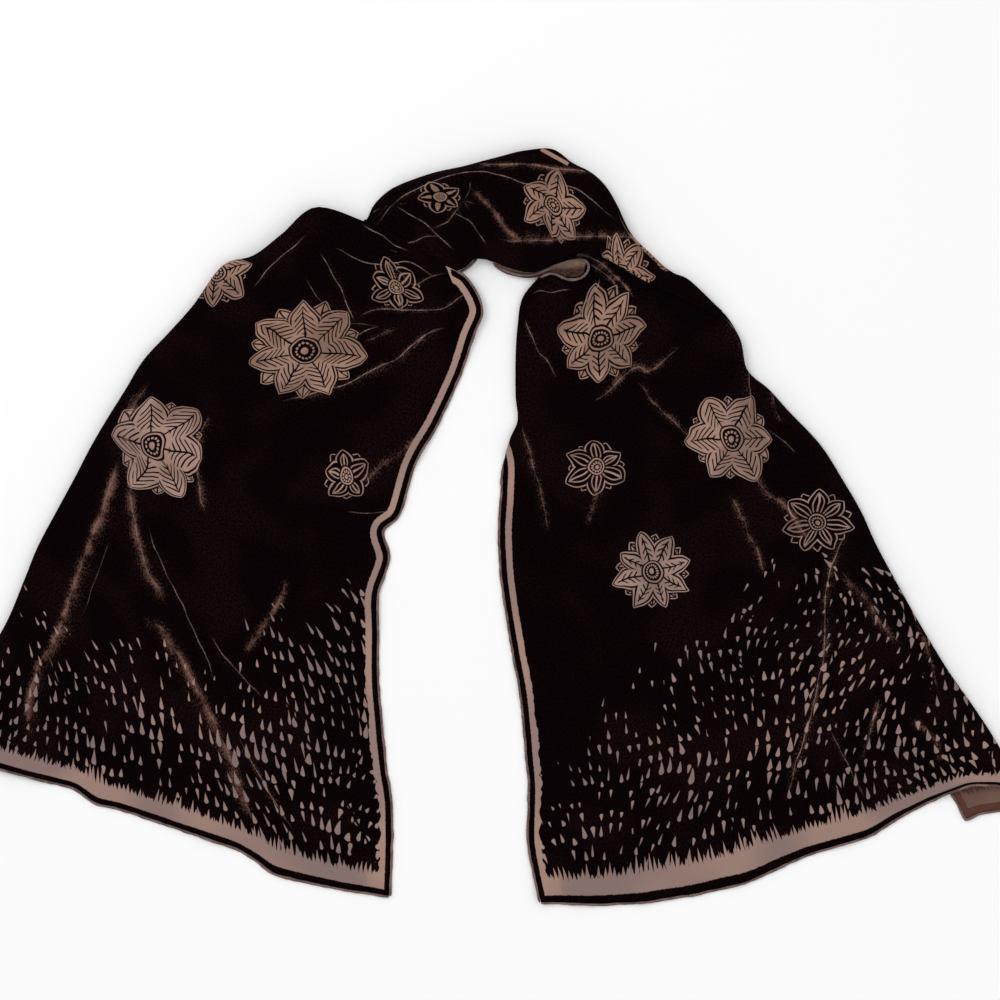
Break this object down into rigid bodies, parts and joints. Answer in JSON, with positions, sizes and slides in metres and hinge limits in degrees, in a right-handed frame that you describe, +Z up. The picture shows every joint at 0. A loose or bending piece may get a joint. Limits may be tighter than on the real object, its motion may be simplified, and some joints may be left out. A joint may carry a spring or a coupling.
{
  "type": "burnout velvet scarf laid flat",
  "caption": "Wide oblong scarf of burnout velvet lying flat as an upside-down U, gathered at the neck, its outer sides turned under and its edges rolled.",
  "frame": {"origin": "centre of the scarf's bounding box, on the surface it lies on", "axes": "+X to the right across the two ends, +Y from the ends to the neck, +Z up"},
  "size_m": [1.0793, 0.7584, 0.0205],
  "materials": {
    "velvet_pile": "near-black brown velvet pile with taupe burned-out motifs, borders and drops",
    "rolled_hem": "matt taupe ground cloth rolled into a narrow hem"
  },
  "bodies": {
    "root": {"left_fall": "velvet_pile", "neck_gather": "velvet_pile", "right_fall": "velvet_pile", "left_side_hem": "rolled_hem", "left_end_hem": "rolled_hem", "right_side_hem": "rolled_hem", "right_end_hem": "rolled_hem", "right_turned_hem": "rolled_hem", "neck_loop_hem": "rolled_hem"}
  },
  "joints": []
}
